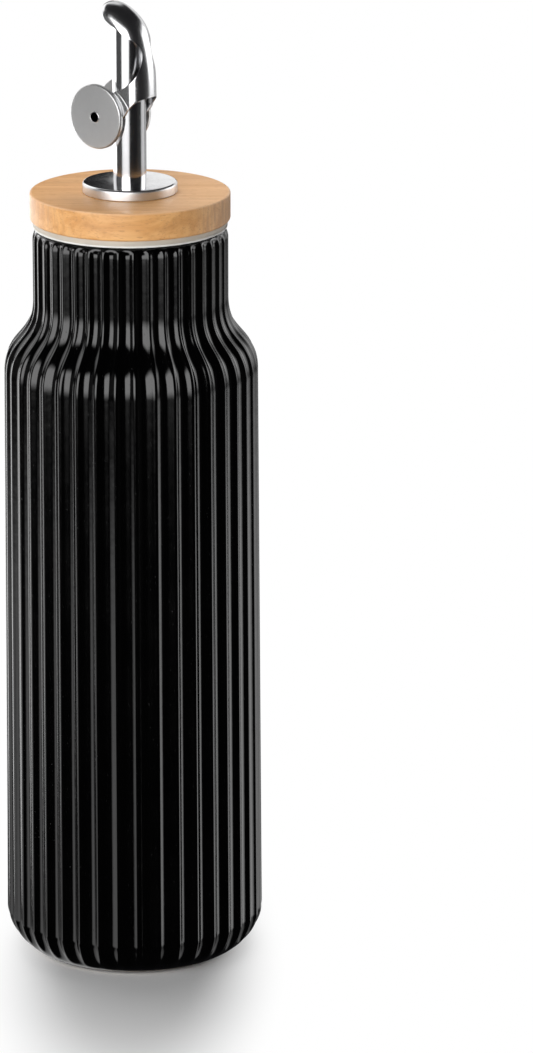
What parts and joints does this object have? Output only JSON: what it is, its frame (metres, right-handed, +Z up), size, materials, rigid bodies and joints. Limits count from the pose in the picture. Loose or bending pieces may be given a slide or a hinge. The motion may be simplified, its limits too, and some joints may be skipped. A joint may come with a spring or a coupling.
{
  "type": "oil dispenser bottle",
  "caption": "Fluted stoneware oil bottle with a wooden lid and a steel pourer whose weighted flap swings open to pour.",
  "frame": {"origin": "centre of the bottle's foot, on the surface it stands on", "axes": "+Z up along the bottle's axis, oil is poured towards -X, the flap's hinge lies along Y"},
  "size_m": [0.0728, 0.0728, 0.2728],
  "materials": {
    "glaze": "gloss black glaze over stoneware",
    "silicone": "matt grey",
    "wood": "satin beech",
    "steel": "polished stainless steel",
    "satin_steel": "satin stainless steel"
  },
  "bodies": {
    "bottle_body": {"bottle": "glaze", "gasket": "silicone", "lid": "wood", "flange": "steel", "pour_tube": "steel"},
    "flap_body": {"flap": "steel", "weight_near": "satin_steel", "weight_far": "satin_steel", "weight_pin": "steel"}
  },
  "joints": [
    {"name": "flap_hinge", "type": "hinge", "parent": "bottle_body", "child": "flap_body", "pos_m": [0, 0, 0.2446], "axis": [0, 1, 0], "range_deg": [0, 55]}
  ]
}
